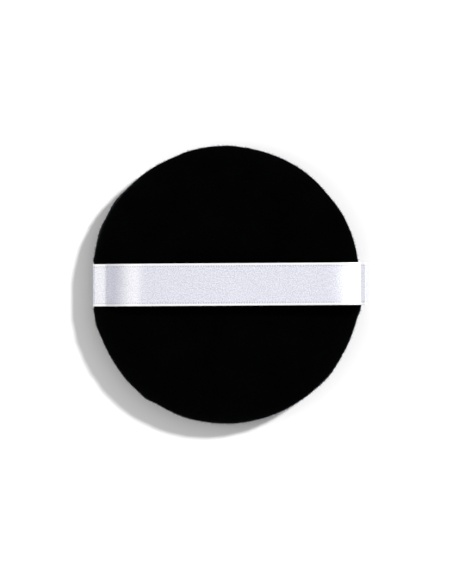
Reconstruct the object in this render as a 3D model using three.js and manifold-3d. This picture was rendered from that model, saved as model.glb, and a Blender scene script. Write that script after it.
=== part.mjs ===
// Powder puff: two velour panels sewn round a foam disc, with a satin ribbon caught in the seam.
// Millimetres, +Z up. The puff rests on z = 0, its ribbon runs along X, and the hand goes in along Y.

import * as THREE from 'three';
import { mergeVertices } from 'three/addons/utils/BufferGeometryUtils.js';
import Module from 'manifold-3d';

// Pad
const PAD_WIDTH = 78.6; // across the puff, along the ribbon
const PAD_LENGTH = 81; // across the puff, under the ribbon
const PAD_THICKNESS = 13; // at the middle
const REST_RADIUS = 24; // flat middle of the powder face
const BACK_POWER = 3; // how square the upper edge is
const FACE_POWER = 2; // how square the lower edge is, outside the flat middle

// Cloth and seam
const FABRIC = 1.4; // velour with its pile
const SEAM_ALLOWANCE = 3; // from the stitch line to the cut edge, turned inside
const THREAD = 0.4; // thread diameter
const STITCH_LENGTH = 7;
const CLOSING_GAP = 28; // length of the opening that the pad is turned through
const CLOSING_STITCHES = 5;
const CLEARANCE = 0.3; // between pieces that touch

// Ribbon
const RIBBON_WIDTH = 12.3;
const RIBBON_THICKNESS = 0.4;
const FINGER_GAP = 4.4; // from the top of the pad to the ribbon
const LEFT_TURN_RISE = 2.4; // height over which the left end turns up from the seam
const LEFT_CREASE_INSET = 3.7; // from the rim to the crease across the left end
const LEFT_CREASE_RISE = 4.2; // from the seam to that crease
const LEFT_SLOPE = THREE.MathUtils.degToRad(41); // of the ribbon just above the crease
const LEFT_FLAT_INSET = 17.5; // from the rim to where the ribbon is level
const RIGHT_BULGE = 1.6; // how far the right end stands out past the rim
const RIGHT_BULGE_RISE = 3; // from the seam to the widest point of that bulge
const RIGHT_FLAT_INSET = 9.5; // from the rim to where the ribbon is level

// Fineness of the round surfaces
const ROUND_SEGMENTS = 40;
const CROWN_STEPS = 7;
const THREAD_SIDES = 6;
const BEND_STEPS = 8;

// Worked out from the sizes above
const padRadius = PAD_WIDTH / 2;
const ovalShare = PAD_LENGTH / PAD_WIDTH;
const seamHeight = PAD_THICKNESS / 2;
const halfGap = CLEARANCE / 2;
const crownHeight = seamHeight - halfGap;
const innerHeight = crownHeight - FABRIC;
const innerRadius = padRadius - FABRIC;
const foldAngle = Math.acos(FABRIC / innerHeight);
const back = { flat: 0, power: BACK_POWER, side: 1 };
const face = { flat: REST_RADIUS, power: FACE_POWER, side: -1 };
const foldRadii = [back, face].map((panel) => crownPoint(panel, innerRadius, foldAngle));
const foldRadius = Math.min(...foldRadii);
const threadBore = THREAD / 2 + CLEARANCE;
const seamRadius = foldRadius - threadBore - CLEARANCE;
const cutEdge = seamRadius - SEAM_ALLOWANCE;
const foamRadius = cutEdge - CLEARANCE;
const runRise = halfGap + FABRIC - THREAD / 2; // of the thread above or below the seam plane
const halfOpening = CLOSING_GAP / 2 / seamRadius;
const seamStart = Math.PI / 2 + halfOpening;
const seamEnd = Math.PI * 2.5 - halfOpening;

const wasm = await Module();
wasm.setup();

// Radius of a crown at an angle that runs from 0 on its middle to a right angle at its rim
function crownPoint(panel, radius, angle) {
  return panel.flat + (radius - panel.flat) * Math.sin(angle) ** (2 / panel.power);
}

// Angle of a crown at a given radius
function crownAngle(panel, rimRadius, radius) {
  return Math.asin(((radius - panel.flat) / (rimRadius - panel.flat)) ** (panel.power / 2));
}

// Profile of a crown from the axis out, as far as the given angle, above or below the seam plane
function crownProfile(panel, radius, height, lift, lastAngle) {
  const points = panel.flat > 0 ? [new THREE.Vector2(0, height + lift)] : [];
  for (let i = 0; i <= CROWN_STEPS; i += 1) {
    const angle = (lastAngle * i) / CROWN_STEPS;
    points.push(new THREE.Vector2(crownPoint(panel, radius, angle), height * Math.cos(angle) + lift));
  }
  return points.map((point) => new THREE.Vector2(point.x, seamHeight + panel.side * point.y));
}

function profilePoint(panel, radius, rise) {
  return new THREE.Vector2(radius, seamHeight + panel.side * rise);
}

// A solid that joins and cuts, from a closed geometry
function solid(geometry) {
  geometry.deleteAttribute('normal');
  geometry.deleteAttribute('uv');
  const merged = mergeVertices(geometry);
  const corners = merged.index.array;
  const triangles = [];
  for (let i = 0; i < corners.length; i += 3) {
    const [a, b, c] = corners.slice(i, i + 3);
    if (a !== b && b !== c && c !== a) triangles.push(a, b, c);
  }
  const vertProperties = new Float32Array(merged.attributes.position.array);
  const triVerts = new Uint32Array(triangles);
  return new wasm.Manifold(new wasm.Mesh({ numProp: 3, vertProperties, triVerts }));
}

function revolved(profile) {
  const geometry = new THREE.LatheGeometry(profile, ROUND_SEGMENTS);
  return solid(geometry.rotateX(Math.PI / 2).scale(1, ovalShare, 1));
}

function joined(solids) {
  return solids.reduce((sum, next) => sum.add(next));
}

// Adds one named piece of the puff to its group
function addPiece(group, name, shape, look) {
  const { vertProperties, triVerts } = shape.getMesh();
  const geometry = new THREE.BufferGeometry();
  geometry.setAttribute('position', new THREE.BufferAttribute(new Float32Array(vertProperties), 3));
  geometry.setIndex(new THREE.BufferAttribute(new Uint32Array(triVerts), 1));
  geometry.computeVertexNormals();
  const mesh = new THREE.Mesh(geometry, new THREE.MeshStandardMaterial(look));
  mesh.name = name;
  group.add(mesh);
}

// Threads

class RoundSeam extends THREE.Curve {
  constructor(height, start, end) {
    super();
    this.height = height;
    this.start = start;
    this.end = end;
  }

  getPoint(t, target = new THREE.Vector3()) {
    const angle = this.start + (this.end - this.start) * t;
    return target.set(seamRadius * Math.cos(angle), seamRadius * Math.sin(angle), this.height);
  }
}

// A length of thread lying along the seam, or the room for one, which runs on past its ends
function threadRun(radius, height, start, end) {
  const section = new THREE.Shape().absarc(0, 0, radius, 0, Math.PI * 2);
  const overrun = (radius - THREAD / 2) / seamRadius;
  const steps = Math.ceil(((end - start) / (Math.PI * 2)) * ROUND_SEGMENTS);
  const geometry = new THREE.ExtrudeGeometry(section, {
    steps,
    curveSegments: THREAD_SIDES / 2,
    bevelEnabled: false,
    extrudePath: new RoundSeam(height, start - overrun, end + overrun),
  });
  return solid(geometry.scale(1, ovalShare, 1));
}

// The thread where it goes through the cloth
function threadLeg(radius, angle, low, high) {
  const geometry = new THREE.CylinderGeometry(radius, radius, high - low, THREAD_SIDES);
  geometry.rotateX(Math.PI / 2);
  geometry.translate(seamRadius * Math.cos(angle), seamRadius * Math.sin(angle), (low + high) / 2);
  return solid(geometry.scale(1, ovalShare, 1));
}

// One thread of the machine seam: it lies on its own side and dips to the middle at each stitch
function machineThread(radius, side, lockRise) {
  const runHeight = seamHeight + side * runRise;
  const lockHeight = seamHeight + side * lockRise;
  const count = Math.round(((seamEnd - seamStart) * seamRadius) / STITCH_LENGTH);
  const pieces = [threadRun(radius, runHeight, seamStart, seamEnd)];
  for (let i = 0; i < count; i += 1) {
    const angle = seamStart + ((seamEnd - seamStart) * (i + 0.5)) / count;
    pieces.push(threadLeg(radius, angle, Math.min(runHeight, lockHeight), Math.max(runHeight, lockHeight)));
  }
  return joined(pieces);
}

// The hand stitching of the opening: it runs in one panel, crosses to the other, and so on
function ladderThread(radius) {
  const inset = (THREAD + 2 * CLEARANCE) / seamRadius;
  const start = Math.PI / 2 - halfOpening + inset;
  const step = (2 * (halfOpening - inset)) / CLOSING_STITCHES;
  const pieces = [];
  for (let i = 0; i < CLOSING_STITCHES; i += 1) {
    const side = i % 2 === 0 ? 1 : -1;
    pieces.push(threadRun(radius, seamHeight + side * runRise, start + step * i, start + step * (i + 1)));
  }
  for (let i = 1; i < CLOSING_STITCHES; i += 1) {
    pieces.push(threadLeg(radius, start + step * i, seamHeight - runRise, seamHeight + runRise));
  }
  return joined(pieces);
}

// Ribbon

function bend(from, control, to) {
  return new THREE.QuadraticBezierCurve(from, control, to).getPoints(BEND_STEPS);
}

// A quarter of an ellipse about a centre
function quarterTurn(x, z, width, height, from, to) {
  return new THREE.EllipseCurve(x, z, width, height, from, to, to < from).getPoints(BEND_STEPS);
}

// Middle line of the ribbon in the XZ plane, from its left tail in the seam to its right one
function ribbonLine() {
  const level = PAD_THICKNESS + FINGER_GAP + RIBBON_THICKNESS / 2;
  const stand = padRadius + CLEARANCE + RIBBON_THICKNESS / 2;
  const seamTurn = new THREE.Vector2(-stand, seamHeight);
  const turnEnd = new THREE.Vector2(-stand, seamHeight + LEFT_TURN_RISE);
  const crease = new THREE.Vector2(LEFT_CREASE_INSET - padRadius, seamHeight + LEFT_CREASE_RISE);
  const leftReach = (level - crease.y) / Math.tan(LEFT_SLOPE);
  const leftControl = new THREE.Vector2(crease.x + leftReach, level);
  const leftFlat = new THREE.Vector2(LEFT_FLAT_INSET - padRadius, level);
  const rightFlat = padRadius - RIGHT_FLAT_INSET;
  const bulge = padRadius + RIGHT_BULGE;
  const bulgeHeight = seamHeight + RIGHT_BULGE_RISE;
  return [
    new THREE.Vector2(-cutEdge, seamHeight),
    ...bend(seamTurn, turnEnd, crease),
    ...bend(crease, leftControl, leftFlat).slice(1),
    ...quarterTurn(rightFlat, bulgeHeight, bulge - rightFlat, level - bulgeHeight, Math.PI / 2, 0),
    ...quarterTurn(stand, bulgeHeight, bulge - stand, RIGHT_BULGE_RISE, 0, -Math.PI / 2).slice(1),
    new THREE.Vector2(cutEdge, seamHeight),
  ];
}

// Points beside a line at an even distance, mitred where the line turns
function beside(line, distance) {
  return line.map((point, i) => {
    const before = point.clone().sub(line[Math.max(i - 1, 0)]).normalize();
    const after = line[Math.min(i + 1, line.length - 1)].clone().sub(point).normalize();
    const first = i === 0 ? after : before;
    const last = i === line.length - 1 ? before : after;
    const normal = new THREE.Vector2(-first.y - last.y, first.x + last.x);
    return point.clone().addScaledVector(normal, distance / (1 + first.dot(last)));
  });
}

function ribbonStrip() {
  const line = ribbonLine();
  const half = RIBBON_THICKNESS / 2;
  const outline = new THREE.Shape([...beside(line, half), ...beside(line, -half).reverse()]);
  const geometry = new THREE.ExtrudeGeometry(outline, { depth: RIBBON_WIDTH, bevelEnabled: false });
  return solid(geometry.translate(0, 0, -RIBBON_WIDTH / 2).rotateX(Math.PI / 2));
}

// Room between the panels for one ribbon tail
function tailPocket(side) {
  const length = padRadius - foamRadius + 2 * CLEARANCE;
  const width = RIBBON_WIDTH + 2 * CLEARANCE;
  const height = RIBBON_THICKNESS + 2 * CLEARANCE;
  const geometry = new THREE.BoxGeometry(length, width, height);
  return solid(geometry.translate((side * (padRadius + foamRadius)) / 2, 0, seamHeight));
}

// Panels and filling

// Section of a panel: its crown outside, its edge turned in at the seam, and its crown inside
function panelProfile(panel) {
  const inner = crownProfile(panel, innerRadius, innerHeight, halfGap, foldAngle);
  const turned = [
    profilePoint(panel, cutEdge, halfGap + FABRIC),
    profilePoint(panel, cutEdge, halfGap),
  ];
  const outer = crownProfile(panel, padRadius, crownHeight, halfGap, Math.PI / 2).reverse();
  const profile = [...inner, ...turned, ...outer];
  return panel.side > 0 ? profile : profile.reverse();
}

// Section of the foam, which fills the inside of both crowns as far out as the cut edges
function foamProfile() {
  const [lower, upper] = [face, back].map((panel) => {
    const edgeAngle = crownAngle(panel, innerRadius, foamRadius);
    return crownProfile(panel, innerRadius, innerHeight, halfGap - CLEARANCE, edgeAngle);
  });
  return [...lower, ...upper.reverse()];
}

const needleBore = machineThread(threadBore, 1, 0);
const bobbinBore = machineThread(threadBore, -1, 0);
const ladderBore = ladderThread(threadBore);
const seamRoom = joined([needleBore, bobbinBore, ladderBore, tailPocket(-1), tailPocket(1)]);

const velour = { color: 0x0b0c0d, roughness: 1, metalness: 0 };
const thread = { color: 0x141517, roughness: 0.7, metalness: 0 };
const foam = { color: 0xf2e9d4, roughness: 1, metalness: 0 };
const satin = { color: 0xe6e6f0, roughness: 0.35, metalness: 0 };

const puff = new THREE.Group();
addPiece(puff, 'back_panel', revolved(panelProfile(back)).subtract(seamRoom), velour);
addPiece(puff, 'face_panel', revolved(panelProfile(face)).subtract(seamRoom), velour);
addPiece(puff, 'foam_core', revolved(foamProfile()), foam);
addPiece(puff, 'ribbon_strap', ribbonStrip().subtract(needleBore).subtract(bobbinBore), satin);
addPiece(puff, 'needle_thread', machineThread(THREAD / 2, 1, halfGap), thread);
addPiece(puff, 'bobbin_thread', machineThread(THREAD / 2, -1, halfGap), thread);
addPiece(puff, 'closing_thread', ladderThread(THREAD / 2), thread);

export default puff;
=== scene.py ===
import math

import bpy
import numpy as np
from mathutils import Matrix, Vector, noise


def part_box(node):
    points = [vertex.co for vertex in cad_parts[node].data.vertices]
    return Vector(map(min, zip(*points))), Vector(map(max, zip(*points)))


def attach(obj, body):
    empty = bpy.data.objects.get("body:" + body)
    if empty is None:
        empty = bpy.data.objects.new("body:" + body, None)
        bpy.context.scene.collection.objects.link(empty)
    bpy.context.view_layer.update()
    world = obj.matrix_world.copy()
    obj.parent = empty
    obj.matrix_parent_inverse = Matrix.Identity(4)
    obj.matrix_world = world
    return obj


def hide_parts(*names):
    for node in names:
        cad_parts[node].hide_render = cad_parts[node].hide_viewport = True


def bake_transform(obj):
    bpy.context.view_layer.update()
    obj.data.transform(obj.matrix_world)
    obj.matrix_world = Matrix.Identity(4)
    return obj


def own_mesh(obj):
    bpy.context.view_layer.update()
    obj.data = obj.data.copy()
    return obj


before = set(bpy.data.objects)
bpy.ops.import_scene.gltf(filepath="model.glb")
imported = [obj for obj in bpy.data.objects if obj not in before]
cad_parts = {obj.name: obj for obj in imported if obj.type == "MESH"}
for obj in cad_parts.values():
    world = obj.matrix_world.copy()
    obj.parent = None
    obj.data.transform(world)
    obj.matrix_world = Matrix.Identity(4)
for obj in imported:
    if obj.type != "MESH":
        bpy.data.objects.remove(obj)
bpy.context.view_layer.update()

MM = 0.001
TINY = 1e-20  # keeps a length above zero where something is divided by it

# Places taken from the CAD nodes
back_low, back_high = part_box("back_panel")
_, face_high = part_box("face_panel")
foam_low, foam_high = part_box("foam_core")
_, needle_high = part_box("needle_thread")
_, strap_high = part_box("ribbon_strap")
SEAM_Z = (back_low.z + face_high.z) / 2
HALF_GAP = (back_low.z - face_high.z) / 2
CROWN_HEIGHT = back_high.z - back_low.z
HALF_LENGTH = back_high.y
FOAM_RADIUS = foam_high.x

# Pad
HALF_WIDTH = 39.3 * MM
OVAL = HALF_LENGTH / HALF_WIDTH
COVER_SWELL = 0.4 * MM
COVER_RADIUS = HALF_WIDTH + COVER_SWELL
FABRIC = 1.4 * MM
INNER_RADIUS = HALF_WIDTH - FABRIC
INNER_HEIGHT = CROWN_HEIGHT - FABRIC
REST_RADIUS = 24 * MM
CLEARANCE = 0.3 * MM
CUT_EDGE = FOAM_RADIUS + CLEARANCE
GROOVE_DEPTH = 0.8 * MM
GROOVE_WIDTH = 0.75 * MM
SEAM_OPENING = 0.2 * MM
COVER_RINGS = 96
RIM_FINENESS = 1.6  # above 1, rings lie closer together towards the rim
PROFILE_STEPS = 400

# Each cover: the way it faces, the radius of its flat middle, its fullness, and how fast the rim's lumps fade
BACK = {"side": 1, "flat": 0.0, "power": 3, "lump_fade": 80}
FACE = {"side": -1, "flat": REST_RADIUS, "power": 2, "lump_fade": 8}

# Soft lumps and flats of the rim: degrees round it, mm outwards and half width in degrees
RIM_LUMPS = (
    (11, -0.35, 7),
    (41, -0.3, 7),
    (74, -0.25, 13),
    (114, -0.25, 5),
    (129, 0.2, 7),
    (145, 0.7, 9),
    (157, 0.45, 5),
    (197, 0.3, 4),
    (224, 0.35, 9),
    (234, 0.45, 4),
    (252, 0.15, 5),
    (320, 0.25, 8),
    (351, 0.6, 4),
)

# Where the ribbon's ends lie on the pad
DENT_BORDER = 1.0 * MM
DENT_FROM = 20 * MM
RIBBON_LIE = 0.12 * MM
PRESS_SHARE = 0.92  # of the overlap with the ribbon, by which the cover gives way

# Texture map of a cover, in shares of the map
MAP_MARGIN = 2 * MM
MAP_DISC = 0.49
MAP_CORNER = 0.07
MAP_CORNER_DISC = 0.06

# Cloth simulation of the two covers, run at a larger scale that the solver handles well
SIM_SCALE = 12
SIM_RINGS = 26
SIM_FRAMES = 20
SIM_START_HEIGHT = 0.9
SIM_SLACK = 0.015
SIM_SLACK_FROM = 0.55
SIM_SETTINGS = {
    "quality": 6,
    "mass": 0.3,
    "tension_stiffness": 20,
    "compression_stiffness": 20,
    "shear_stiffness": 8,
    "bending_stiffness": 3,
    "shrink_min": 0.0,
    "shrink_max": -SIM_SLACK,
    "use_pressure": True,
    "uniform_pressure_force": 5,
}
SIM_ANGLES = 720
PUCKER_LIMIT = 0.3 * MM
PUCKER_SPREAD = 0.4
PUCKER_RISE = 4 * MM

# Nap and single fibres of the velour
NAP_SIZE = 1.3 * MM
NAP_HEIGHT = 0.07 * MM
TUFT_SIZE = 4.5 * MM
TUFT_HEIGHT = 0.08 * MM
TUFT_SHIFT = 5.0  # so that tufts and nap don't repeat each other
PILE_COUNT = 26000
PILE_LENGTH = 0.75 * MM
PILE_SHORTEST = 0.5
PILE_WIDTH = 0.07 * MM
PILE_LEAN = 0.55
PILE_SEED = 7
PILE_FREE_RIM = 7 * MM  # no fibres stand this close to the rim under the ribbon
SPIKE_FACES = ((0, 2, 1), (0, 1, 3), (1, 2, 3), (2, 0, 3))

# Foam
FOAM_RINGS = 48
CELL_SIZE = 1.6 * MM
CELL_DEPTH = 0.25 * MM

# Ribbon
RIBBON_WIDTH = 12.3 * MM
RIBBON_THICKNESS = 0.22 * MM
SOLID_RIBBON_HALF = 0.2 * MM
RIBBON_MIDDLE_Z = strap_high.z - SOLID_RIBBON_HALF
LEFT_EDGE = 38.65 * MM
RIGHT_EDGE = 40.7 * MM
RIGHT_TURN_RISE = 3 * MM
TURN_STEPS = 24
RIBBON_ROW = 0.25 * MM
RIBBON_COLUMNS = 44
RIBBON_ROUNDING = 0.25 * MM
RIBBON_LEFT_Y = -0.22 * MM
RIBBON_RIGHT_Y = 0.28 * MM
SELVEDGE = 0.55 * MM
SELVEDGE_BEAD = 0.1 * MM
PICOT_STEP = 0.74 * MM
PICOT_HEIGHT = 0.03 * MM
RIPPLE_SIZE = 9 * MM
RIPPLE_HEIGHT = 0.1 * MM
RIPPLE_SHIFT = 2.0

# Run of the ribbon in side view: mm along it from its left fold, and its slope there in degrees
LEFT_TILTS = (
    (0.0, 90),
    (0.3, 25),
    (3.6, 25),
    (5.6, 44),
    (8.0, 36),
    (14.0, 23),
    (17.5, 9),
    (21.0, 5),
    (30.0, 2.5),
    (45.0, 0),
)

# The same from the end of the level stretch to the right fold
RIGHT_TILTS = (
    (0.0, 0),
    (2.0, -3),
    (5.5, -10),
    (10.1, -22),
    (10.5, 20),
    (11.6, 14),
    (12.1, -90),
)

# Threads
THREAD = 0.4 * MM
THREAD_SIDES = 6
STITCH_LENGTH = 2.5 * MM
STITCH_STEPS = 10
LOCK_DIP = 0.8
LOCK_SHARPNESS = 8
OPENING_ANGLE = math.pi / 2
CLOSING_GAP = 28 * MM
CLOSING_MARGIN = 0.6 * MM
CLOSING_STITCHES = 7
CROSSING_STEEPNESS = 4
SEAM_RADIUS = needle_high.x - THREAD / 2
RUN_RISE = needle_high.z - THREAD / 2 - SEAM_Z

# Velour material
VELOUR_DARK = 0.0001
VELOUR_LIGHT = 0.0012
VELOUR_TINT = (0.9, 1.0, 1.0)
VELOUR_CONTRAST = 2.0
# Paler patches where the nap leans: painted sheen in the velour's colour
VELOUR_SHEEN_PATCHES = {"Scale": 90.0, "Detail": 3.0}
VELOUR_FIBRES = {"Scale": 2200.0, "Detail": 2.0}
VELOUR_BUMP = {"Strength": 0.5, "Distance": 0.15 * MM}
VELOUR_ROUGHNESS = 0.95
VELOUR_SHEEN = 0.55
VELOUR_SHEEN_ROUGHNESS = 0.28
VELOUR_SHEEN_TINT = (0.85, 0.91, 1.0, 1.0)
FACE_NAP_SHIFT = 3.0
FIBRE_DARK = 0.0003
FIBRE_LIGHT = 0.003
FIBRE_SPREAD = {"Scale": 400.0}
FIBRE_ROUGHNESS = 0.9
FIBRE_SPECULAR = 0.01

# Satin material, with its lengths in mm on the flat ribbon
WEAVE_MAP = "weave"
WEAVE_PITCH = 0.2
WEAVE_THREADS = 5
WEAVE_STEP = 2
WEAVE_DRIFT = 0.5
SATIN_MIDDLE = RIBBON_WIDTH / MM / 2
SATIN_EDGE = SATIN_MIDDLE - SELVEDGE / MM
SATIN_EDGE_FROM = SATIN_EDGE - 0.15
SATIN_EDGE_TO = SATIN_EDGE + 0.05
LOOP_ROW = SATIN_EDGE - 0.3
LOOP_ROW_HALF = 0.2
LOOP_STEP = PICOT_STEP / MM
LOOP_LEVEL = 0.35
DRIFT_NOISE = {"Scale": 1.1, "Detail": 3.0}
# Streaks, grain and mottle that lighten and darken the satin's colour: painted shine
WARP_STRETCH = (0.35, 9.0, 1.0)
WARP_SHINE_NOISE = {"Scale": 1.0, "Detail": 3.0}
MOTTLE_NOISE = {"Scale": 0.9, "Detail": 5.0}
SHINE_GRAIN_NOISE = {"Scale": 2.9, "Detail": 1.0}
SATIN_SHINE_GRAIN = 3.0
SATIN_SHINE_MOTTLE = 0.6
# How strongly the sunk weave points are painted darker as shade
SATIN_POINT = 0.7
SATIN_DOTS = 0.6
SATIN_LOW = 0.56
SATIN_HIGH = 0.98
# Grey of the painted shade at the weave points, also the grey of the loops beside the selvedge
SATIN_POINT_COLOUR = 0.2
SATIN_TINT = (0.935, 0.95, 1.10)
SATIN_BUMP = {"Strength": 0.2, "Distance": 0.08 * MM}
SATIN_IOR = 4.0
SATIN_ROUGHNESS = 0.36
SATIN_ANISOTROPY = 0.6
SATIN_ANISOTROPY_TURN = 0.25

# Foam and thread materials
FOAM_CELLS = {"Scale": 1400.0}
# Darker, deeper yellow colour in the cells' pits: painted shade
FOAM_PIT_SHADE = 0.5
FOAM_PIT_SHADE_TINT = (1.0, 0.9, 0.7)
FOAM_LIGHT = 0.88
FOAM_LIGHT_TINT = (1.0, 0.95, 0.82)
FOAM_BUMP = {"Strength": 0.6, "Distance": 0.2 * MM}
FOAM_ROUGHNESS = 0.95
THREAD_TWIST = {"Scale": 1500.0, "Distortion": 2.0}
THREAD_DARK = 0.006
THREAD_LIGHT = 0.02
THREAD_BUMP = {"Strength": 0.5, "Distance": 0.1 * MM}
THREAD_ROUGHNESS = 0.55

# Camera, light and floor
IMAGE_HEIGHT_PX = 584
IMAGE_MIDDLE_PX = (226, 292)
PAD_MIDDLE_PX = (226.1, 284.6)
PX_PER_METRE = 3430
CAMERA_DISTANCE = 1.5
SENSOR_MM = 24
KEY_AZIMUTH = math.radians(36)
KEY_ELEVATION = math.radians(45)
KEY_STRENGTH = 2.75
KEY_ANGLE = math.radians(7)
SOFTBOX_ELEVATION = math.radians(43)
SOFTBOX_DISTANCE = 0.6
SOFTBOX_SIZE = (0.26, 0.3)
SOFTBOX_POWER = 0.46
SOFTBOX_COLOUR = (1.0, 0.97, 0.87)
SKY_AT_HORIZON = (0.125, 0.145, 0.205, 1.0)
SKY_OVERHEAD = (0.663, 0.65, 0.64, 1.0)
FLOOR_SIZE = 20.0
FLOOR_DROP = 0.05 * MM
FLOOR_COLOUR = (0.99, 0.99, 0.99, 1.0)
FLOOR_ROUGHNESS = 1.0


# Mesh helpers

def in_scene(name, data):
    """A new object in the scene."""
    obj = bpy.data.objects.new(name, data)
    bpy.context.scene.collection.objects.link(obj)
    return obj


def make_object(name, points, faces):
    """A mesh object in the scene, with smooth shading."""
    mesh = bpy.data.meshes.new(name)
    mesh.from_pydata([tuple(p) for p in points], [], [tuple(f) for f in faces])
    mesh.polygons.foreach_set("use_smooth", [True] * len(mesh.polygons))
    mesh.update()
    return in_scene(name, mesh)


def set_uv(obj, name, places):
    """Gives obj a UV map from one place per vertex."""
    layer = obj.data.uv_layers.new(name=name)
    corners = np.empty(len(obj.data.loops), np.int32)
    obj.data.loops.foreach_get("vertex_index", corners)
    layer.data.foreach_set("uv", np.asarray(places, np.float32)[corners].ravel())


def noise_at(points, size, shift=0.0):
    """Smooth noise from -1 to 1 at each point, with features about size across."""
    offset = Vector((shift, shift, shift))
    return np.array([noise.noise(Vector(p) / size + offset) for p in points])


def unit(vectors):
    """Each vector at a length of 1."""
    return vectors / np.linalg.norm(vectors, axis=1, keepdims=True).clip(TINY)


def vertex_normals(points, triangles):
    """The way a surface faces at each of its points."""
    a, b, c = (points[triangles[:, i]] for i in range(3))
    area = np.cross(b - a, c - a)
    total = np.zeros_like(points)
    for i in range(3):
        np.add.at(total, triangles[:, i], area)
    return unit(total)


def length_along(first, second):
    """Length of a flat line up to each of its points."""
    return np.concatenate([[0.0], np.cumsum(np.hypot(np.diff(first), np.diff(second)))])


def outward_at(angle):
    """The level direction away from the middle at each angle."""
    return np.stack([np.cos(angle), np.sin(angle), np.zeros_like(angle)], axis=1)


def ring_disc(rings):
    """A disc of even triangles: ring k has 6k points.
    Returns each point's ring share and angle, and the triangles."""
    share, angle = [0.0], [0.0]
    first = [0]
    for k in range(1, rings + 1):
        first.append(len(share))
        share += [k / rings] * (6 * k)
        angle += [2 * math.pi * j / (6 * k) for j in range(6 * k)]
    triangles = []
    for k in range(1, rings + 1):
        outer, inner = 6 * k, max(6 * (k - 1), 1)
        for sector in range(6):
            for i in range(k):
                a = first[k] + sector * k + i
                b = first[k] + (sector * k + i + 1) % outer
                c = first[k - 1] + (sector * (k - 1) + i) % inner
                triangles.append((a, b, c))
                if i < k - 1:
                    d = first[k - 1] + (sector * (k - 1) + i + 1) % inner
                    triangles.append((c, b, d))
    return np.array(share), np.array(angle), np.array(triangles)


def two_discs(triangles, count):
    """Faces of a disc, and of one whose points come count later and that faces the other way."""
    return [tuple(t) for t in triangles] + [tuple(t) for t in triangles[:, ::-1] + count]


def band_faces(near, far):
    """Faces between two rings of points."""
    faces = []
    for i in range(len(near)):
        j = (i + 1) % len(near)
        faces.append((near[j], near[i], far[i], far[j]))
    return faces


def tube_faces(rows, around, turned=False):
    """Faces of a closed tube of points in rows, with a cap at each end. Turned faces run the other way."""
    faces = []
    for i in range(rows - 1):
        for j in range(around):
            k = (j + 1) % around
            faces.append((i * around + j, i * around + k, (i + 1) * around + k, (i + 1) * around + j))
    faces.append(tuple(reversed(range(around))))
    faces.append(tuple(range((rows - 1) * around, rows * around)))
    if turned:
        faces = [(face[0], *reversed(face[1:])) for face in faces]
    return faces


# Covers

def meridian(cover, radius, height, last_angle):
    """Radius and height of a cover's crown from the middle out, by share of its length."""
    angles = np.linspace(0, last_angle, PROFILE_STEPS)
    r = cover["flat"] + (radius - cover["flat"]) * np.sin(angles) ** (2 / cover["power"])
    r = np.concatenate([[0.0], r])
    z = np.concatenate([[height], height * np.cos(angles)])
    length = length_along(r, z)
    return length / length[-1], r, z


def rim_lump(angle):
    """How far the rim stands out from the plain oval at each angle."""
    total = np.zeros_like(angle)
    for at, height, width in RIM_LUMPS:
        turn = (np.degrees(angle) - at + 180) % 360 - 180
        total += height * MM * np.exp(-((turn / width) ** 2))
    return total


def crown_points(cover, share, angle, radius, height, last_angle=math.pi / 2):
    """Points of a crown over the seam plane, by ring share and angle."""
    length, r_line, z_line = meridian(cover, radius, height, last_angle)
    place = 1 - (1 - share) ** RIM_FINENESS
    r = np.interp(place, length, r_line)
    z = np.interp(place, length, z_line)
    r = r + rim_lump(angle) * (r / COVER_RADIUS) ** cover["lump_fade"]
    return np.stack([
        r * np.cos(angle),
        OVAL * r * np.sin(angle),
        SEAM_Z + cover["side"] * (HALF_GAP + z),
    ], axis=1)


def make_pillow(share, angle, triangles):
    """The two covers as one closed pillow at the scale of the simulation.
    Also returns where in its list each point of the lower cover is."""
    rim = share == 1
    starts = []
    for cover in (BACK, FACE):
        start = crown_points(cover, share, angle, COVER_RADIUS, CROWN_HEIGHT * SIM_START_HEIGHT)
        start[rim, 2] = SEAM_Z
        starts.append(start)
    inside = np.flatnonzero(~rim)
    lower = np.arange(len(share))
    lower[inside] = len(share) + np.arange(len(inside))
    points = np.concatenate([starts[0], starts[1][inside]]) * SIM_SCALE
    faces = np.concatenate([triangles, lower[triangles][:, ::-1]])
    return make_object("pillow", points, faces), lower


def add_cloth(pillow, share, lower):
    """Makes the pillow of cloth that is held at its seam, slack towards it and under pressure."""
    held = pillow.vertex_groups.new(name="held")
    held.add(np.flatnonzero(share == 1).tolist(), 1.0, "REPLACE")
    slack = pillow.vertex_groups.new(name="slack")
    for i in range(len(share)):
        weight = max(0.0, (share[i] - SIM_SLACK_FROM) / (1 - SIM_SLACK_FROM))
        slack.add([i, int(lower[i])], float(weight), "REPLACE")
    cloth = pillow.modifiers.new("cloth", "CLOTH")
    for name, value in SIM_SETTINGS.items():
        setattr(cloth.settings, name, value)
    cloth.settings.vertex_group_mass = held.name
    cloth.settings.vertex_group_shrink = slack.name
    cloth.settings.effector_weights.gravity = 0
    cloth.point_cache.frame_start = 1
    cloth.point_cache.frame_end = SIM_FRAMES


def blown_up(pillow):
    """Runs the simulation, removes the pillow and returns where its points have come to."""
    for number in range(1, SIM_FRAMES + 1):
        bpy.context.scene.frame_set(number)
    result = pillow.evaluated_get(bpy.context.evaluated_depsgraph_get())
    moved = np.empty(len(result.data.vertices) * 3)
    result.data.vertices.foreach_get("co", moved)
    bpy.data.objects.remove(pillow)
    bpy.context.scene.frame_set(1)
    return moved.reshape(-1, 3) / SIM_SCALE


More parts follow.
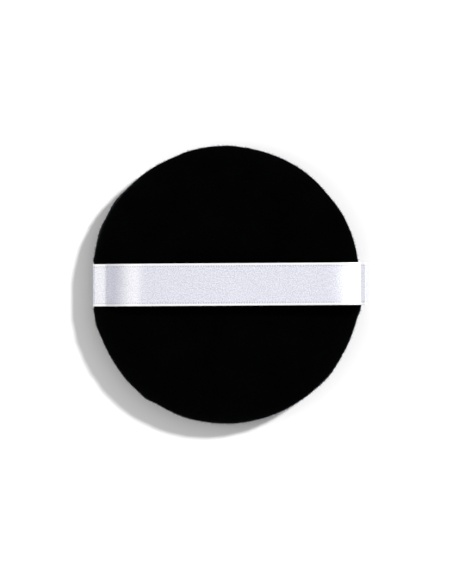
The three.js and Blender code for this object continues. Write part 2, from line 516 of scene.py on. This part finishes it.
def puckers(move, share, angle):
    """A cover's moves without what each whole ring does, limited in length."""
    outward = outward_at(angle)
    ring = np.rint(share * SIM_RINGS).astype(int)
    spread = (move * outward).sum(axis=1)
    lift = move[:, 2].copy()
    for part, direction in ((spread, outward), (lift, np.array([0, 0, 1]))):
        mean = np.bincount(ring, part) / np.bincount(ring)
        move = move - mean[ring][:, None] * direction
    move -= (1 - PUCKER_SPREAD) * (move * outward).sum(axis=1, keepdims=True) * outward
    move[share == 1] = 0
    length = np.linalg.norm(move, axis=1, keepdims=True)
    return move * np.minimum(1, PUCKER_LIMIT / length.clip(TINY))


def by_ring(move, share, angle):
    """Moves on an even grid of rings and angles."""
    grid_angles = 2 * math.pi * np.arange(SIM_ANGLES) / SIM_ANGLES
    grid = np.zeros((SIM_RINGS + 1, SIM_ANGLES, 3))
    ring = np.rint(share * SIM_RINGS).astype(int)
    for k in range(SIM_RINGS + 1):
        on_ring = ring == k
        for axis in range(3):
            grid[k, :, axis] = np.interp(grid_angles, angle[on_ring], move[on_ring, axis], period=2 * math.pi)
    return grid


def simulate_covers():
    """The puckers of each cover by ring and angle, from blowing up the two as one closed pillow."""
    share, angle, triangles = ring_disc(SIM_RINGS)
    pillow, lower = make_pillow(share, angle, triangles)
    add_cloth(pillow, share, lower)
    moved = blown_up(pillow)
    grids = []
    for cover, index in ((BACK, np.arange(len(share))), (FACE, lower)):
        shape = crown_points(cover, share, angle, COVER_RADIUS, CROWN_HEIGHT)
        grids.append(by_ring(puckers(moved[index] - shape, share, angle), share, angle))
    return grids


def sample_moves(grid, share, angle):
    """The moves at any ring share and angle, between the grid's points."""
    ring = share * SIM_RINGS
    low = np.minimum(ring.astype(int), SIM_RINGS - 1)
    turn = angle / (2 * math.pi) * SIM_ANGLES
    left = turn.astype(int) % SIM_ANGLES
    right = (left + 1) % SIM_ANGLES
    up = (ring - low)[:, None]
    on = (turn - turn.astype(int))[:, None]
    inner = grid[low, left] * (1 - on) + grid[low, right] * on
    outer = grid[low + 1, left] * (1 - on) + grid[low + 1, right] * on
    return inner * (1 - up) + outer * up


def near_ribbon(points):
    """1 where the ribbon's ends press on the rim, and 0 away from them, with a soft border."""
    middle = np.where(points[:, 0] < 0, RIBBON_LEFT_Y, RIBBON_RIGHT_Y)
    aside = (RIBBON_WIDTH / 2 + DENT_BORDER - abs(points[:, 1] - middle)) / DENT_BORDER
    return np.clip(aside, 0, 1) * (abs(points[:, 0]) > DENT_FROM)


def pressed_by_ribbon(points, at_ribbon, cover):
    """A cover with its rim drawn in behind the ribbon's left end, and pressed down where it lies under it."""
    line, _ = ribbon_line()
    left = line[(line[:, 0] < -DENT_FROM) & (line[:, 1] > SEAM_Z + RIBBON_THICKNESS)]
    left = left[np.argsort(left[:, 0])]
    room = RIBBON_THICKNESS / 2 + RIBBON_LIE
    at_left = at_ribbon * (points[:, 0] < 0)
    pressed = points.copy()
    pressed[:, 0] += PRESS_SHARE * at_left * np.maximum(0, room - LEFT_EDGE - points[:, 0])
    if cover["side"] < 0:
        return pressed
    roof = np.interp(pressed[:, 0], left[:, 0], left[:, 1]) - room
    pressed[:, 2] -= PRESS_SHARE * at_left * np.maximum(0, pressed[:, 2] - roof)
    return pressed


def cover_surface(cover, moves):
    """The outside of one cover: its crown, the puckers, the sunk seam, the nap and the ribbon's dents."""
    share, angle, triangles = ring_disc(COVER_RINGS)
    points = crown_points(cover, share, angle, COVER_RADIUS, CROWN_HEIGHT)
    rise = cover["side"] * (points[:, 2] - SEAM_Z) - HALF_GAP
    if moves is not None:
        calm_rim = np.minimum(1, rise / PUCKER_RISE)[:, None]
        points = points + sample_moves(moves, share, angle) * calm_rim
    groove = GROOVE_DEPTH * np.exp(-((rise / GROOVE_WIDTH) ** 2))
    points -= outward_at(angle) * groove[:, None]
    if cover["side"] < 0:
        triangles = triangles[:, ::-1]
    nap = NAP_HEIGHT * noise_at(points, NAP_SIZE) + TUFT_HEIGHT * noise_at(points, TUFT_SIZE, TUFT_SHIFT)
    nap *= np.minimum(1, rise / GROOVE_WIDTH)
    points += vertex_normals(points, triangles) * nap[:, None]
    at_ribbon = near_ribbon(points)
    points[:, 2] += cover["side"] * SEAM_OPENING * at_ribbon * np.exp(-rise / FABRIC)
    points = pressed_by_ribbon(points, at_ribbon, cover)
    points[:, 2] = points[:, 2].clip(0)
    return share, angle, triangles, points


def build_cover(name, cover, moves):
    """A closed shell of velour: the outside, the edge turned in at the seam, and the inside."""
    share, angle, triangles, outside = cover_surface(cover, moves)
    count = len(share)
    fold = math.acos(FABRIC / INNER_HEIGHT)
    inside = crown_points(cover, share, angle, INNER_RADIUS, INNER_HEIGHT, fold)
    rim = np.flatnonzero(share == 1)
    edge = np.stack([np.cos(angle[rim]), OVAL * np.sin(angle[rim])], axis=1) * CUT_EDGE
    strips = []
    for rise in (HALF_GAP, HALF_GAP + FABRIC):
        height = rise + SEAM_OPENING * near_ribbon(edge)
        strips.append(np.column_stack([edge, SEAM_Z + cover["side"] * height]))
    points = np.concatenate([outside, inside, *strips])
    first_strip = 2 * count + np.arange(len(rim))
    loops = [rim, first_strip, first_strip + len(rim), count + rim]
    faces = two_discs(triangles, count)
    for near, far in zip(loops, loops[1:]):
        band = band_faces(near, far)
        faces += band if cover["side"] > 0 else [face[::-1] for face in band]
    obj = make_object(name, points, faces)
    set_uv(obj, "OFBake", cover_uv(points, count))
    return obj, outside, triangles


def cover_uv(points, outside_count):
    """The outside fills the map as a disc, and what is hidden inside goes in one corner."""
    flat = points[:, :2] / (HALF_LENGTH + MAP_MARGIN)
    places = 0.5 + MAP_DISC * flat
    places[outside_count:] = MAP_CORNER + MAP_CORNER_DISC * flat[outside_count:]
    return places


# Single fibres of the velour

def scattered(outside, triangles, draw):
    """Random places spread evenly over a surface, and the way it faces at each."""
    a, b, c = (outside[triangles[:, i]] for i in range(3))
    facing = np.cross(b - a, c - a)
    area = np.linalg.norm(facing, axis=1)
    picked = draw.choice(len(triangles), PILE_COUNT, p=area / area.sum())
    u, v = draw.random((2, PILE_COUNT))
    flip = u + v > 1
    u[flip], v[flip] = 1 - u[flip], 1 - v[flip]
    places = a[picked] + u[:, None] * (b - a)[picked] + v[:, None] * (c - a)[picked]
    return places, unit(facing[picked])


def build_pile(name, outside, triangles, seed):
    """Fibres that stand out from a cover, each a thin closed spike."""
    draw = np.random.default_rng(seed)
    root, normal = scattered(outside, triangles, draw)
    in_ribbon_lane = abs(root[:, 1]) < RIBBON_WIDTH / 2 + PILE_LENGTH
    near_rim = abs(root[:, 0]) > HALF_WIDTH - PILE_FREE_RIM
    on_floor = root[:, 2] < PILE_LENGTH
    free = ~((in_ribbon_lane & near_rim) | on_floor)
    root, normal = root[free], normal[free]
    lean = unit(normal + PILE_LEAN * draw.normal(size=root.shape))
    length = PILE_LENGTH * draw.uniform(PILE_SHORTEST, 1.0, len(root))
    tip = root + lean * length[:, None]
    side = unit(np.cross(lean, draw.normal(size=root.shape))) * (PILE_WIDTH / 2)
    other = np.cross(lean, side)
    sunk = root - normal * PILE_WIDTH
    corners = [sunk + side, sunk - side / 2 + other, sunk - side / 2 - other, tip]
    points = np.stack(corners, axis=1).reshape(-1, 3)
    faces = []
    for first in range(0, len(points), len(corners)):
        faces += [tuple(first + corner for corner in face) for face in SPIKE_FACES]
    return make_object(name, points, faces)


# Foam

def build_foam():
    """The soft disc of foam inside the covers, with open cells over its surface."""
    share, angle, triangles = ring_disc(FOAM_RINGS)
    halves = []
    for cover in (BACK, FACE):
        full = (FOAM_RADIUS - cover["flat"]) / (INNER_RADIUS - cover["flat"])
        edge = math.asin(full ** (cover["power"] / 2))
        half = crown_points(cover, share, angle, INNER_RADIUS, INNER_HEIGHT, edge)
        half[:, 2] -= cover["side"] * CLEARANCE
        halves.append(half)
    count = len(share)
    rim = np.flatnonzero(share == 1)
    points = np.concatenate(halves)
    faces = two_discs(triangles, count) + band_faces(rim, count + rim)
    cells = CELL_DEPTH * np.abs(noise_at(points, CELL_SIZE))
    middle = np.array([0, 0, SEAM_Z])
    points = points + unit(middle - points) * cells[:, None]
    return make_object("foam_pad", points, faces)


# Ribbon

def tilted_run(tilts):
    """A line in the XZ plane that follows a list of lengths in mm and slopes in degrees."""
    lengths, slopes = np.array(tilts).T
    step = lengths[-1] / (len(tilts) * TURN_STEPS)
    slope = np.radians(np.interp(np.arange(0, lengths[-1], step), lengths, slopes))
    return np.cumsum(np.stack([np.cos(slope), np.sin(slope)], axis=1), axis=0) * step * MM


def rounded(line):
    """A line with its corners softened."""
    reach = max(1, round(RIBBON_ROUNDING / RIBBON_ROW))
    padded = np.pad(line, ((reach, reach), (0, 0)), "edge")
    window = np.ones(2 * reach + 1) / (2 * reach + 1)
    return np.stack([np.convolve(padded[:, i], window, "valid") for i in range(2)], axis=1)


def ribbon_line():
    """Middle line of the ribbon in the XZ plane, from its left tail in the seam to its right one.
    Its points come in even steps, and the length up to each is returned too."""
    left_tail = [(-CUT_EDGE, SEAM_Z), (-LEFT_EDGE, SEAM_Z)]
    left = tilted_run(LEFT_TILTS)
    left += (-LEFT_EDGE, RIBBON_MIDDLE_Z - left[-1, 1])
    right = tilted_run(RIGHT_TILTS)
    right += (RIGHT_EDGE - right[-1, 0], RIBBON_MIDDLE_Z)
    turn = np.linspace(0, math.pi / 2, TURN_STEPS)
    right_turn = np.stack([
        HALF_WIDTH + (RIGHT_EDGE - HALF_WIDTH) * np.cos(turn),
        SEAM_Z + RIGHT_TURN_RISE * (1 - np.sin(turn)),
    ], axis=1)
    right_tail = [(CUT_EDGE, SEAM_Z)]
    line = np.concatenate([left_tail, left, right, right_turn, right_tail])
    length = length_along(line[:, 0], line[:, 1])
    steps = np.linspace(0, length[-1], int(length[-1] / RIBBON_ROW) + 1)
    even = np.stack([np.interp(steps, length, line[:, i]) for i in range(2)], axis=1)
    return rounded(even), steps


def ribbon_section():
    """Place across and half thickness at each column: a thin band with a beaded selvedge and round edges."""
    across = RIBBON_WIDTH / 2 * np.sin(np.linspace(-1, 1, RIBBON_COLUMNS + 1) * math.pi / 2)
    inset = RIBBON_WIDTH / 2 - abs(across)
    half = RIBBON_THICKNESS / 2 + SELVEDGE_BEAD / 2 * np.exp(-((inset / SELVEDGE) ** 2))
    round_edge = np.sqrt(np.clip(1 - (1 - np.minimum(inset / RIBBON_THICKNESS, 1)) ** 2, 0, 1))
    return across, half * round_edge


def ribbon_rows(line, steps):
    """The points round the ribbon at each step along it, and their places on the flat ribbon."""
    across, half = ribbon_section()
    columns = len(across)
    tangent = unit(np.gradient(line, axis=0))
    normal = np.stack([-tangent[:, 1], np.zeros(len(line)), tangent[:, 0]], axis=1)
    inset = RIBBON_WIDTH / 2 - abs(across)
    beside_selvedge = np.exp(-(((inset - SELVEDGE) / (SELVEDGE / 2)) ** 2))
    flat_across = np.concatenate([across, across[-2:0:-1]]) + RIBBON_WIDTH / 2
    rows = []
    flat = []
    for i, (x, z) in enumerate(line):
        aside = RIBBON_LEFT_Y + (RIBBON_RIGHT_Y - RIBBON_LEFT_Y) * (x + HALF_WIDTH) / (2 * HALF_WIDTH)
        middle = np.stack([np.full(columns, x), across + aside, np.full(columns, z)], axis=1)
        free = np.clip((z - SEAM_Z) / (RIBBON_MIDDLE_Z - SEAM_Z), 0, 1)
        ripple = RIPPLE_HEIGHT * free * noise_at(middle, RIPPLE_SIZE, RIPPLE_SHIFT)
        picot = PICOT_HEIGHT * math.cos(2 * math.pi * steps[i] / PICOT_STEP) * beside_selvedge
        top = middle + normal[i] * (ripple + half + picot)[:, None]
        bottom = middle + normal[i] * (ripple - half)[:, None]
        rows.append(np.concatenate([top, bottom[-2:0:-1]]))
        flat.append(np.stack([np.full(len(flat_across), steps[i]), flat_across], axis=1))
    return rows, flat


def build_ribbon():
    """The ribbon as one closed band, and its flat length."""
    line, steps = ribbon_line()
    rows, flat = ribbon_rows(line, steps)
    around = len(rows[0])
    obj = make_object("ribbon", np.concatenate(rows), tube_faces(len(rows), around, turned=True))
    loop = np.arange(around) / around
    bake = [np.stack([np.full(around, i / (len(rows) - 1)), loop], axis=1) for i in range(len(rows))]
    set_uv(obj, "OFBake", np.concatenate(bake))
    set_uv(obj, WEAVE_MAP, np.concatenate(flat) / MM)
    return obj, steps[-1]


# Threads

def stitch_steps(stitches):
    """Places along a row of stitches, counted in stitches."""
    return np.linspace(0, stitches, stitches * STITCH_STEPS + 1)


def build_thread(name, start, end, rise):
    """A thread round the rim from one angle to another, with its height over the seam plane at each step."""
    angle = np.linspace(start, end, len(rise))
    level = np.stack([SEAM_RADIUS * np.cos(angle), OVAL * SEAM_RADIUS * np.sin(angle)], axis=1)
    path = np.column_stack([level, SEAM_Z + rise])
    along = unit(np.gradient(path, axis=0))
    across = unit(np.cross(along, unit(path * (1, 1, 0))))
    other = np.cross(along, across)
    turns = 2 * math.pi * np.arange(THREAD_SIDES) / THREAD_SIDES
    spokes = np.cos(turns)[:, None, None] * across + np.sin(turns)[:, None, None] * other
    points = (path + THREAD / 2 * spokes).transpose(1, 0, 2).reshape(-1, 3)
    return make_object(name, points, tube_faces(len(path), THREAD_SIDES))


def build_machine_thread(name, side):
    """One thread of the machine seam, which dips to the middle of the cloth between stitches."""
    half_opening = CLOSING_GAP / 2 / SEAM_RADIUS
    start = OPENING_ANGLE + half_opening
    end = OPENING_ANGLE + 2 * math.pi - half_opening
    stitches = round((end - start) * SEAM_RADIUS / STITCH_LENGTH)
    dip = LOCK_DIP * np.abs(np.cos(math.pi * stitch_steps(stitches))) ** LOCK_SHARPNESS
    return build_thread(name, start, end, side * RUN_RISE * (1 - dip))


def build_closing_thread():
    """The hand stitching of the opening, which crosses from panel to panel."""
    half_opening = (CLOSING_GAP / 2 - THREAD - CLOSING_MARGIN) / SEAM_RADIUS
    start = OPENING_ANGLE - half_opening
    end = OPENING_ANGLE + half_opening
    crossing = np.tanh(CROSSING_STEEPNESS * np.sin(math.pi * stitch_steps(CLOSING_STITCHES)))
    return build_thread("closing_stitches", start, end, RUN_RISE * crossing)


# Material helpers

def new_material(name):
    """A material with its node tree and its shader."""
    material = bpy.data.materials.new(name)
    material.use_nodes = True
    return material, material.node_tree, material.node_tree.nodes["Principled BSDF"]


def feed(tree, socket, value):
    """Joins another node's output to a socket, or sets the socket to a value."""
    if isinstance(value, bpy.types.NodeSocket):
        tree.links.new(value, socket)
    else:
        socket.default_value = value


def add(tree, kind, **inputs):
    """A new node, with its inputs set to values or joined to other nodes' outputs."""
    node = tree.nodes.new(kind)
    for name, value in inputs.items():
        feed(tree, node.inputs[name], value)
    return node


def mixed(tree, share, low, high):
    """Output of a colour mix between two colours or outputs."""
    node = add(tree, "ShaderNodeMix")
    node.data_type = "RGBA"
    share_socket, low_socket, high_socket = node.inputs["Factor"], node.inputs[6], node.inputs[7]
    feed(tree, share_socket, share)
    feed(tree, low_socket, low)
    feed(tree, high_socket, high)
    return node.outputs[2]


def maths(tree, operation, *values):
    """Output of a calculation with numbers or outputs."""
    node = add(tree, "ShaderNodeMath")
    node.operation = operation
    for socket, value in zip(node.inputs, values):
        feed(tree, socket, value)
    return node.outputs[0]


def noise_output(tree, place, settings):
    """Output of a noise texture."""
    return add(tree, "ShaderNodeTexNoise", Vector=place, **settings).outputs["Fac"]


def object_place(tree):
    """Output that gives the place on the object."""
    return add(tree, "ShaderNodeTexCoord").outputs["Object"]


def set_surface(tree, shader, colour, height, bump):
    """Joins a colour and a fine relief to a shader."""
    tree.links.new(colour, shader.inputs["Base Color"])
    relief = add(tree, "ShaderNodeBump", Height=height, **bump)
    tree.links.new(relief.outputs["Normal"], shader.inputs["Normal"])


def grey(value, tint=(1.0, 1.0, 1.0)):
    """A grey, or a tint at that level."""
    return (value * tint[0], value * tint[1], value * tint[2], 1.0)


# Materials

def velour(name, shift):
    """Short dense black pile: nearly no light back, paler patches where the nap leans, painted into the
    colour as sheen, and the shader's soft sheen.
    """
    material, tree, shader = new_material(name)
    moved = add(tree, "ShaderNodeMapping", Vector=object_place(tree), Location=(shift, shift, shift))
    place = moved.outputs["Vector"]
    # The nap's lean changes only how the sheen falls, so the paler patches it gives the colour are painted
    # sheen
    lean = noise_output(tree, place, VELOUR_SHEEN_PATCHES)
    fibre = noise_output(tree, place, VELOUR_FIBRES)
    pile = maths(tree, "MULTIPLY", maths(tree, "MULTIPLY", lean, fibre), VELOUR_CONTRAST)
    colour = mixed(tree, pile, grey(VELOUR_DARK, VELOUR_TINT), grey(VELOUR_LIGHT, VELOUR_TINT))
    set_surface(tree, shader, colour, fibre, VELOUR_BUMP)
    shader.inputs["Roughness"].default_value = VELOUR_ROUGHNESS
    shader.inputs["Specular IOR Level"].default_value = 0.0
    shader.inputs["Sheen Weight"].default_value = VELOUR_SHEEN
    shader.inputs["Sheen Roughness"].default_value = VELOUR_SHEEN_ROUGHNESS
    shader.inputs["Sheen Tint"].default_value = VELOUR_SHEEN_TINT
    return material


def fibre_material():
    """The single fibres of the pile: dull black, some a little paler."""
    material, tree, shader = new_material("velour_fibre")
    spread = noise_output(tree, object_place(tree), FIBRE_SPREAD)
    colour = mixed(tree, spread, grey(FIBRE_DARK), grey(FIBRE_LIGHT))
    tree.links.new(colour, shader.inputs["Base Color"])
    shader.inputs["Roughness"].default_value = FIBRE_ROUGHNESS
    shader.inputs["Specular IOR Level"].default_value = FIBRE_SPECULAR
    return material


def from_cell_middle(tree, place):
    """How far a place counted in threads lies from the middle of its thread."""
    return maths(tree, "ABSOLUTE", maths(tree, "SUBTRACT", maths(tree, "FRACT", place), 0.5))


def weave_points(tree, place, along, across):
    """The points where a thread crosses over in a five-thread weave, strongest in their middles."""
    drift = maths(tree, "MULTIPLY", noise_output(tree, place, DRIFT_NOISE), WEAVE_DRIFT / WEAVE_PITCH)
    column = maths(tree, "ADD", maths(tree, "DIVIDE", along, WEAVE_PITCH), drift)
    row = maths(tree, "SUBTRACT", maths(tree, "DIVIDE", across, WEAVE_PITCH), drift)
    skipped = maths(tree, "MULTIPLY", maths(tree, "FLOOR", row), WEAVE_STEP)
    counted = maths(tree, "ADD", maths(tree, "FLOOR", column), skipped)
    order = maths(tree, "FLOORED_MODULO", counted, WEAVE_THREADS)
    crossing = maths(tree, "LESS_THAN", order, 0.5)
    away = maths(tree, "ADD", from_cell_middle(tree, column), from_cell_middle(tree, row))
    return maths(tree, "MULTIPLY", crossing, maths(tree, "SUBTRACT", 1.0, away))


def selvedge(tree, from_middle):
    """1 on the ribbon's two smooth selvedges, and 0 between them."""
    edge = add(tree, "ShaderNodeMapRange", Value=from_middle)
    edge.inputs["From Min"].default_value = SATIN_EDGE_FROM
    edge.inputs["From Max"].default_value = SATIN_EDGE_TO
    return edge.outputs["Result"]


def edge_loops(tree, along, from_middle):
    """1 on each small loop in the row beside the selvedge."""
    row = maths(tree, "COMPARE", from_middle, LOOP_ROW, LOOP_ROW_HALF)
    wave = maths(tree, "SINE", maths(tree, "MULTIPLY", along, 2 * math.pi / LOOP_STEP))
    return maths(tree, "MULTIPLY", row, maths(tree, "GREATER_THAN", wave, LOOP_LEVEL))


def painted_satin_shine(tree, place, mottle):
    """The uneven shine of the threads, painted as lighter and darker colour: long streaks, a fine grain and a
    mottle.
    """
    stretched = add(tree, "ShaderNodeMapping", Vector=place, Scale=WARP_STRETCH).outputs["Vector"]
    threads = noise_output(tree, stretched, WARP_SHINE_NOISE)
    grain = noise_output(tree, place, SHINE_GRAIN_NOISE)
    for pattern, amount in ((grain, SATIN_SHINE_GRAIN), (mottle, SATIN_SHINE_MOTTLE)):
        threads = maths(tree, "MULTIPLY_ADD", maths(tree, "SUBTRACT", pattern, 0.5), amount, threads)
    return threads


def set_shine(tree, shader):
    """A strong soft shine that is drawn out in one direction of the weave."""
    tangent = add(tree, "ShaderNodeTangent")
    tangent.direction_type = "UV_MAP"
    tangent.uv_map = WEAVE_MAP
    tree.links.new(tangent.outputs["Tangent"], shader.inputs["Tangent"])
    shader.inputs["IOR"].default_value = SATIN_IOR
    shader.inputs["Roughness"].default_value = SATIN_ROUGHNESS
    shader.inputs["Anisotropic"].default_value = SATIN_ANISOTROPY
    shader.inputs["Anisotropic Rotation"].default_value = SATIN_ANISOTROPY_TURN


def satin():
    """White satin with a lavender cast, painted shine and painted shade at its weave points, a smooth white
    selvedge and a row of small loops beside it.
    """
    material, tree, shader = new_material("satin_ribbon")
    flat = add(tree, "ShaderNodeUVMap")
    flat.uv_map = WEAVE_MAP
    place = flat.outputs["UV"]
    parts = add(tree, "ShaderNodeSeparateXYZ", Vector=place)
    along, across = parts.outputs["X"], parts.outputs["Y"]
    from_middle = maths(tree, "ABSOLUTE", maths(tree, "SUBTRACT", across, SATIN_MIDDLE))
    mottle = noise_output(tree, place, MOTTLE_NOISE)
    # The threads' uneven shine is painted into the colour, and the same pattern also shapes the relief
    threads = painted_satin_shine(tree, place, mottle)
    points = weave_points(tree, place, along, across)
    # The weave points sink in the relief and are painted darker there: painted shade
    shaded_points = maths(tree, "MULTIPLY", points, maths(tree, "MULTIPLY", mottle, SATIN_POINT))
    dots = maths(tree, "MULTIPLY", edge_loops(tree, along, from_middle), SATIN_DOTS)
    dark = grey(SATIN_POINT_COLOUR, SATIN_TINT)
    colour = mixed(tree, threads, grey(SATIN_LOW, SATIN_TINT), grey(SATIN_HIGH, SATIN_TINT))
    colour = mixed(tree, shaded_points, colour, dark)
    colour = mixed(tree, dots, colour, dark)
    colour = mixed(tree, selvedge(tree, from_middle), colour, grey(1.0))
    set_surface(tree, shader, colour, maths(tree, "SUBTRACT", threads, shaded_points), SATIN_BUMP)
    set_shine(tree, shader)
    return material


def foam():
    """Soft cream foam with small open cells, painted darker and deeper yellow in their pits as shade."""
    material, tree, shader = new_material("foam")
    cells = add(tree, "ShaderNodeTexVoronoi", Vector=object_place(tree), **FOAM_CELLS).outputs["Distance"]
    # The cells are darkest where they sink in the relief: painted shade in the pits
    colour = mixed(tree, cells, grey(FOAM_PIT_SHADE, FOAM_PIT_SHADE_TINT), grey(FOAM_LIGHT, FOAM_LIGHT_TINT))
    set_surface(tree, shader, colour, cells, FOAM_BUMP)
    shader.inputs["Roughness"].default_value = FOAM_ROUGHNESS
    return material


def thread():
    """Twisted black polyester thread."""
    material, tree, shader = new_material("sewing_thread")
    twist = add(tree, "ShaderNodeTexWave", Vector=object_place(tree), **THREAD_TWIST).outputs["Fac"]
    colour = mixed(tree, twist, grey(THREAD_DARK), grey(THREAD_LIGHT))
    set_surface(tree, shader, colour, twist, THREAD_BUMP)
    shader.inputs["Roughness"].default_value = THREAD_ROUGHNESS
    return material


# Camera, light and floor

def add_camera():
    """A camera straight above, with the pad where the photo has it."""
    camera = bpy.data.cameras.new("camera")
    camera.sensor_fit = "VERTICAL"
    camera.sensor_height = SENSOR_MM
    half_height = IMAGE_HEIGHT_PX / PX_PER_METRE / 2
    camera.lens = SENSOR_MM / 2 * CAMERA_DISTANCE / half_height
    obj = in_scene("camera", camera)
    across = (IMAGE_MIDDLE_PX[0] - PAD_MIDDLE_PX[0]) / PX_PER_METRE
    up = (PAD_MIDDLE_PX[1] - IMAGE_MIDDLE_PX[1]) / PX_PER_METRE
    obj.location = (across, up, SEAM_Z + CAMERA_DISTANCE)
    bpy.context.scene.camera = obj


def add_lamp(name, kind, towards):
    """A lamp that shines from a direction onto the middle."""
    lamp = in_scene(name, bpy.data.lights.new(name, kind))
    lamp.rotation_euler = towards.to_track_quat("Z", "Y").to_euler()
    return lamp


def add_key():
    """The sun lamp from the upper right that casts the shadow."""
    flat = math.cos(KEY_ELEVATION)
    towards = Vector((flat * math.cos(KEY_AZIMUTH), flat * math.sin(KEY_AZIMUTH), math.sin(KEY_ELEVATION)))
    lamp = add_lamp("key", "SUN", towards)
    lamp.data.energy = KEY_STRENGTH
    lamp.data.angle = KEY_ANGLE


def add_softbox():
    """The dim soft box on the left that lights the ribbon's bands."""
    towards = Vector((-math.cos(SOFTBOX_ELEVATION), 0, math.sin(SOFTBOX_ELEVATION)))
    lamp = add_lamp("softbox", "AREA", towards)
    lamp.location = towards * SOFTBOX_DISTANCE
    lamp.data.shape = "RECTANGLE"
    lamp.data.size, lamp.data.size_y = SOFTBOX_SIZE
    lamp.data.energy = SOFTBOX_POWER
    lamp.data.color = SOFTBOX_COLOUR


def add_sky():
    """A pale sky, darker and cooler towards the horizon."""
    world = bpy.data.worlds.new("studio")
    world.use_nodes = True
    tree = world.node_tree
    direction = add(tree, "ShaderNodeTexCoord").outputs["Generated"]
    height = add(tree, "ShaderNodeSeparateXYZ", Vector=direction).outputs["Z"]
    sky = mixed(tree, height, SKY_AT_HORIZON, SKY_OVERHEAD)
    tree.links.new(sky, tree.nodes["Background"].inputs["Color"])
    bpy.context.scene.world = world


def add_floor():
    """A wide white floor just under the pad."""
    half = FLOOR_SIZE / 2
    corners = [(-half, -half, 0), (half, -half, 0), (half, half, 0), (-half, half, 0)]
    floor = make_object("floor", corners, [(0, 1, 2, 3)])
    material, _, shader = new_material("floor")
    shader.inputs["Base Color"].default_value = FLOOR_COLOUR
    shader.inputs["Roughness"].default_value = FLOOR_ROUGHNESS
    shader.inputs["Specular IOR Level"].default_value = 0.0
    floor.data.materials.append(material)
    floor.location.z = -FLOOR_DROP


add_camera()
add_key()
add_softbox()
add_sky()
add_floor()

# Pieces
back_moves, face_moves = simulate_covers()
back_cover, back_outside, back_triangles = build_cover("back_cover", BACK, back_moves)
face_cover, face_outside, face_triangles = build_cover("face_cover", FACE, face_moves)
back_pile = build_pile("back_pile", back_outside, back_triangles, PILE_SEED)
face_pile = build_pile("face_pile", face_outside, face_triangles, PILE_SEED + 1)
foam_pad = build_foam()
ribbon, ribbon_length = build_ribbon()
needle = build_machine_thread("needle_stitches", 1)
bobbin = build_machine_thread("bobbin_stitches", -1)
closing = build_closing_thread()

looks = (
    (back_cover, velour("back_velour", 0.0), "back_velour", "back_panel"),
    (face_cover, velour("face_velour", FACE_NAP_SHIFT), "face_velour", "face_panel"),
    (foam_pad, foam(), "foam", "foam_core"),
    (ribbon, satin(), "satin", "ribbon_strap"),
    (needle, thread(), "thread", "needle_thread"),
    (bobbin, thread(), "thread", "bobbin_thread"),
    (closing, thread(), "thread", "closing_thread"),
)
for piece, material, slot, node in looks:
    piece.data.materials.append(material)
    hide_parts(node)
fibres = fibre_material()
for piece, slot in ((back_pile, "back_velour"), (face_pile, "face_velour")):
    piece.data.materials.append(fibres)

# Motion: the pad's pieces ride the pad's body, some with meshes of their own, and the ribbon's place is set
# into its mesh
for piece in (back_cover, back_pile, face_cover, face_pile, foam_pad, needle, bobbin, closing):
    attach(piece, "pad")
for piece in (back_cover, back_pile, needle, closing):
    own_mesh(piece)
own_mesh(foam_pad)
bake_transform(ribbon)

view = bpy.context.scene.view_settings
view.view_transform = "Standard"
